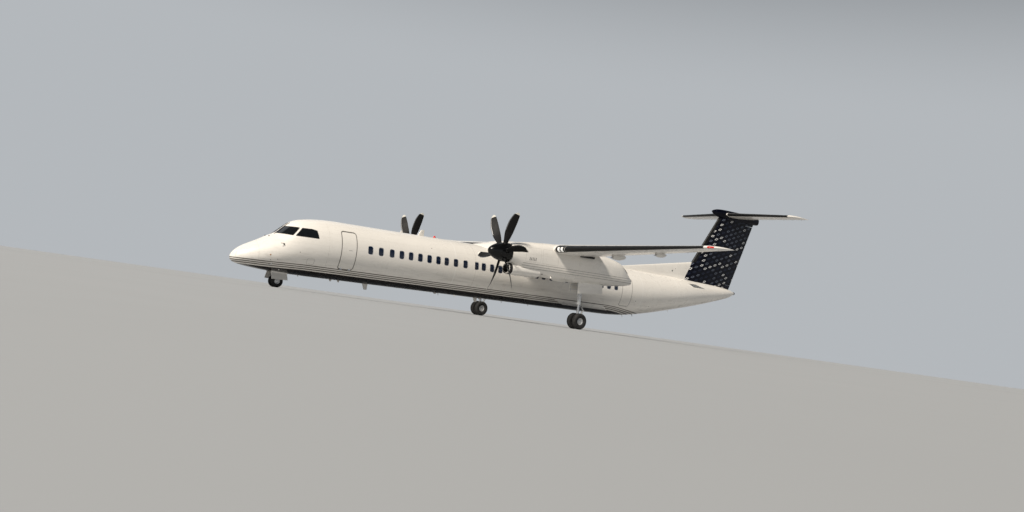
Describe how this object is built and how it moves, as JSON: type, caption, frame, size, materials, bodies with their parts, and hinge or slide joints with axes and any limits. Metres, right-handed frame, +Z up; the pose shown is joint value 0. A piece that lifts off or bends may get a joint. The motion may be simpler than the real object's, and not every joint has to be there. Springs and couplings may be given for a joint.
{
  "type": "turboprop airliner",
  "caption": "High-wing, T-tailed turboprop airliner on its landing gear, with turning propellers and wheels, nose steering, a hinged passenger door, flaps, ailerons, elevators and rudders.",
  "frame": {"origin": "On the ground under the middle of the aircraft's length, on its centre plane.", "axes": "+X forward to the nose, +Y to port, +Z up. The airframe stands 1.1 degrees nose down on its wheels."},
  "size_m": [32.835, 28.42, 8.3441],
  "materials": {
    "white_paint": "glossy warm white paint",
    "navy_paint": "glossy navy paint",
    "black_paint": "semi-gloss black paint",
    "black_blade": "satin black composite",
    "tinted_glass": "dark tinted glass",
    "cabin_trim": "matt dark grey trim",
    "cast_metal": "cast metal",
    "wheel_metal": "painted light-alloy wheel",
    "gear_paint": "glossy light grey paint",
    "bright_steel": "polished steel",
    "tyre": "matt black rubber"
  },
  "bodies": {
    "airframe": {"radome": "white_paint", "nose_fuselage": "white_paint", "port_windscreen": "tinted_glass", "starboard_windscreen": "tinted_glass", "port_side_window": "tinted_glass", "starboard_side_window": "tinted_glass", "flight_deck_interior": "cabin_trim", "forward_fuselage": "white_paint", "centre_fuselage": "white_paint", "aft_fuselage": "white_paint", "tail_cone": "white_paint", "wing_centre": "white_paint", "port_outer_wing": "white_paint", "starboard_outer_wing": "white_paint", "port_nacelle": "white_paint", "starboard_nacelle": "white_paint", "port_engine": "cast_metal", "starboard_engine": "cast_metal", "fin": "navy_paint", "dorsal_fin": "white_paint", "tailplane": "white_paint", "bullet_fairing": "navy_paint", "port_main_gear_leg": "gear_paint", "starboard_main_gear_leg": "gear_paint", "port_drag_brace": "gear_paint", "starboard_drag_brace": "gear_paint", "port_outboard_main_gear_door": "white_paint", "starboard_outboard_main_gear_door": "white_paint", "port_inboard_main_gear_door": "white_paint", "starboard_inboard_main_gear_door": "white_paint", "nose_gear_leg": "gear_paint", "port_nose_gear_door": "white_paint", "starboard_nose_gear_door": "white_paint"},
    "nose_steering": {"nose_steering_piston": "bright_steel"},
    "nose_wheels": {"nose_wheel_rims": "wheel_metal", "port_nose_tyre": "tyre", "starboard_nose_tyre": "tyre"},
    "port_main_wheels": {"port_main_wheel_rims": "wheel_metal", "port_outboard_main_tyre": "tyre", "port_inboard_main_tyre": "tyre"},
    "starboard_main_wheels": {"starboard_main_wheel_rims": "wheel_metal", "starboard_outboard_main_tyre": "tyre", "starboard_inboard_main_tyre": "tyre"},
    "port_propeller": {"port_propeller_blades": "black_blade", "port_spinner": "black_paint"},
    "starboard_propeller": {"starboard_propeller_blades": "black_blade", "starboard_spinner": "black_paint"},
    "entry_door": {"passenger_door": "white_paint"},
    "port_inner_flap_body": {"port_inner_flap": "white_paint"},
    "starboard_inner_flap_body": {"starboard_inner_flap": "white_paint"},
    "port_outer_flap_body": {"port_outer_flap": "white_paint"},
    "starboard_outer_flap_body": {"starboard_outer_flap": "white_paint"},
    "port_aileron_body": {"port_aileron": "white_paint"},
    "starboard_aileron_body": {"starboard_aileron": "white_paint"},
    "port_elevator_body": {"port_elevator": "white_paint"},
    "starboard_elevator_body": {"starboard_elevator": "white_paint"},
    "fore_rudder_body": {"fore_rudder": "navy_paint"},
    "trailing_rudder_body": {"trailing_rudder": "navy_paint"}
  },
  "joints": [
    {"name": "nose_steering_turn", "type": "hinge", "parent": "airframe", "child": "nose_steering", "pos_m": [14.15554, 0, 0.59345], "axis": [0.0192, 0, 0.9998], "range_deg": [-70, 70]},
    {"name": "nose_wheels_spin", "type": "hinge", "parent": "nose_steering", "child": "nose_wheels", "pos_m": [14.14951, 0, 0.2794], "axis": [0, 1, 0], "continuous": true},
    {"name": "port_main_wheels_spin", "type": "hinge", "parent": "airframe", "child": "port_main_wheels", "pos_m": [0.19913, 4.4, 0.3937], "axis": [0, 1, 0], "continuous": true},
    {"name": "starboard_main_wheels_spin", "type": "hinge", "parent": "airframe", "child": "starboard_main_wheels", "pos_m": [0.19913, -4.4, 0.3937], "axis": [0, 1, 0], "continuous": true},
    {"name": "port_propeller_spin", "type": "hinge", "parent": "airframe", "child": "port_propeller", "pos_m": [5.13194, 4.4, 3.09714], "axis": [0.9998, 0, -0.0192], "continuous": true},
    {"name": "starboard_propeller_spin", "type": "hinge", "parent": "airframe", "child": "starboard_propeller", "pos_m": [5.13194, -4.4, 3.09714], "axis": [0.9998, 0, -0.0192], "continuous": true},
    {"name": "passenger_door_hinge", "type": "hinge", "parent": "airframe", "child": "entry_door", "pos_m": [11.38215, 1.098, 1.22481], "axis": [-0.9998, 0, 0.0192], "range_deg": [0, 130]},
    {"name": "port_inner_flap_hinge", "type": "hinge", "parent": "airframe", "child": "port_inner_flap_body", "pos_m": [0.55585, 2.582, 3.44912], "axis": [0, -1, 0], "range_deg": [0, 35]},
    {"name": "starboard_inner_flap_hinge", "type": "hinge", "parent": "airframe", "child": "starboard_inner_flap_body", "pos_m": [0.55585, -2.582, 3.44912], "axis": [0, -1, 0], "range_deg": [0, 35]},
    {"name": "port_outer_flap_hinge", "type": "hinge", "parent": "airframe", "child": "port_outer_flap_body", "pos_m": [0.54724, 7.6825, 3.63696], "axis": [0.0032, -0.9976, -0.0699], "range_deg": [0, 35]},
    {"name": "starboard_outer_flap_hinge", "type": "hinge", "parent": "airframe", "child": "starboard_outer_flap_body", "pos_m": [0.54724, -7.6825, 3.63696], "axis": [-0.0032, -0.9976, 0.0699], "range_deg": [0, 35]},
    {"name": "port_aileron_hinge", "type": "hinge", "parent": "airframe", "child": "port_aileron_body", "pos_m": [0.43629, 11.935, 4.08039], "axis": [-0.0088, -0.9986, -0.0519], "range_deg": [-18, 18]},
    {"name": "starboard_aileron_hinge", "type": "hinge", "parent": "airframe", "child": "starboard_aileron_body", "pos_m": [0.43629, -11.935, 4.08039], "axis": [0.0088, -0.9986, 0.0519], "range_deg": [-18, 18]},
    {"name": "port_elevator_hinge", "type": "hinge", "parent": "airframe", "child": "port_elevator_body", "pos_m": [-15.10034, 2.255, 8.09647], "axis": [0.0554, -0.9985, -0.0011], "range_deg": [-25, 17]},
    {"name": "starboard_elevator_hinge", "type": "hinge", "parent": "airframe", "child": "starboard_elevator_body", "pos_m": [-15.10034, -2.255, 8.09647], "axis": [-0.0554, -0.9985, 0.0011], "range_deg": [-25, 17]},
    {"name": "fore_rudder_hinge", "type": "hinge", "parent": "airframe", "child": "fore_rudder_body", "pos_m": [-14.04803, 0, 5.74334], "axis": [-0.4049, 0, 0.9144], "range_deg": [-18, 18]},
    {"name": "trailing_rudder_hinge", "type": "hinge", "parent": "fore_rudder_body", "child": "trailing_rudder_body", "pos_m": [-14.79773, 0, 5.75773], "axis": [-0.3633, 0, 0.9317], "range_deg": [-18, 18]}
  ],
  "couplings": [
    {"joint": "starboard_inner_flap_hinge", "follows": "port_inner_flap_hinge", "ratio": 1},
    {"joint": "port_outer_flap_hinge", "follows": "port_inner_flap_hinge", "ratio": 1},
    {"joint": "starboard_outer_flap_hinge", "follows": "port_inner_flap_hinge", "ratio": 1},
    {"joint": "starboard_aileron_hinge", "follows": "port_aileron_hinge", "ratio": -1},
    {"joint": "starboard_elevator_hinge", "follows": "port_elevator_hinge", "ratio": 1},
    {"joint": "trailing_rudder_hinge", "follows": "fore_rudder_hinge", "ratio": 1}
  ]
}
